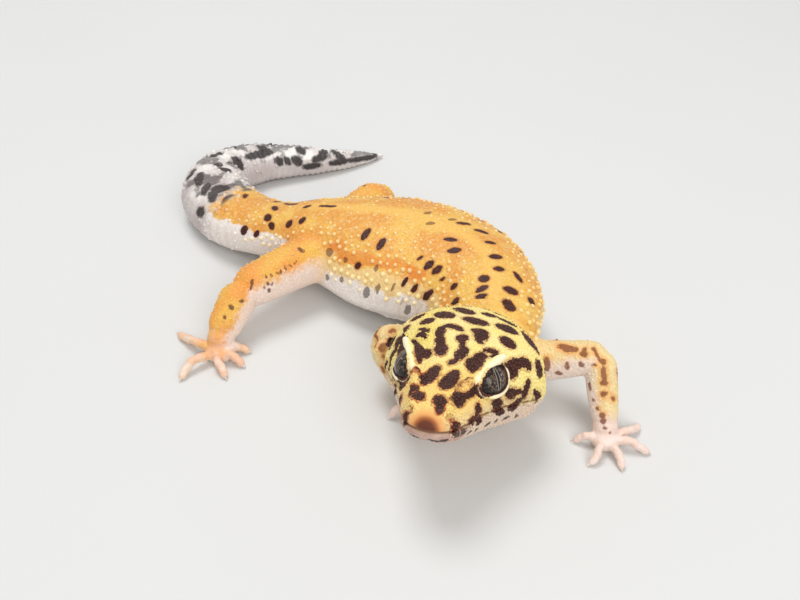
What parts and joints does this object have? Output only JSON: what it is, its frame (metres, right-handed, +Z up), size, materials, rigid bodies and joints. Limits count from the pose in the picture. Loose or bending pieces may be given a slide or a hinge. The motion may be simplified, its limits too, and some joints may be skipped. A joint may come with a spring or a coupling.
{
  "type": "leopard gecko",
  "caption": "Standing leopard gecko with a lifted, turned head, a broad bent body, splayed feet and a thick tail that curls round behind it.",
  "frame": {"origin": "middle of the footprint, on the floor that the feet and the tail rest on", "axes": "+Z up; -Y towards the front, where the head is; +X towards the animal's left"},
  "size_m": [0.0986, 0.1166, 0.0245],
  "materials": {
    "back_skin": "matte, fine scales",
    "head_skin": "satin, fine scales",
    "tail_skin": "matte, fine scales",
    "leg_skin": "matte, fine scales",
    "pale_skin": "satin, fine scales",
    "eye": "wet gloss"
  },
  "bodies": {
    "root": {"head": "head_skin", "jaw": "pale_skin", "left_eye": "eye", "right_eye": "eye", "neck": "back_skin", "trunk": "back_skin", "tail_base": "tail_skin", "tail_middle": "tail_skin", "tail_tip": "tail_skin", "left_fore_upper_arm": "leg_skin", "left_fore_forearm": "leg_skin", "left_fore_hand": "pale_skin", "right_fore_upper_arm": "leg_skin", "right_fore_forearm": "leg_skin", "right_fore_hand": "pale_skin", "left_hind_thigh": "leg_skin", "left_hind_shank": "leg_skin", "left_hind_foot": "pale_skin", "right_hind_thigh": "leg_skin", "right_hind_shank": "leg_skin", "right_hind_foot": "pale_skin"}
  },
  "joints": []
}
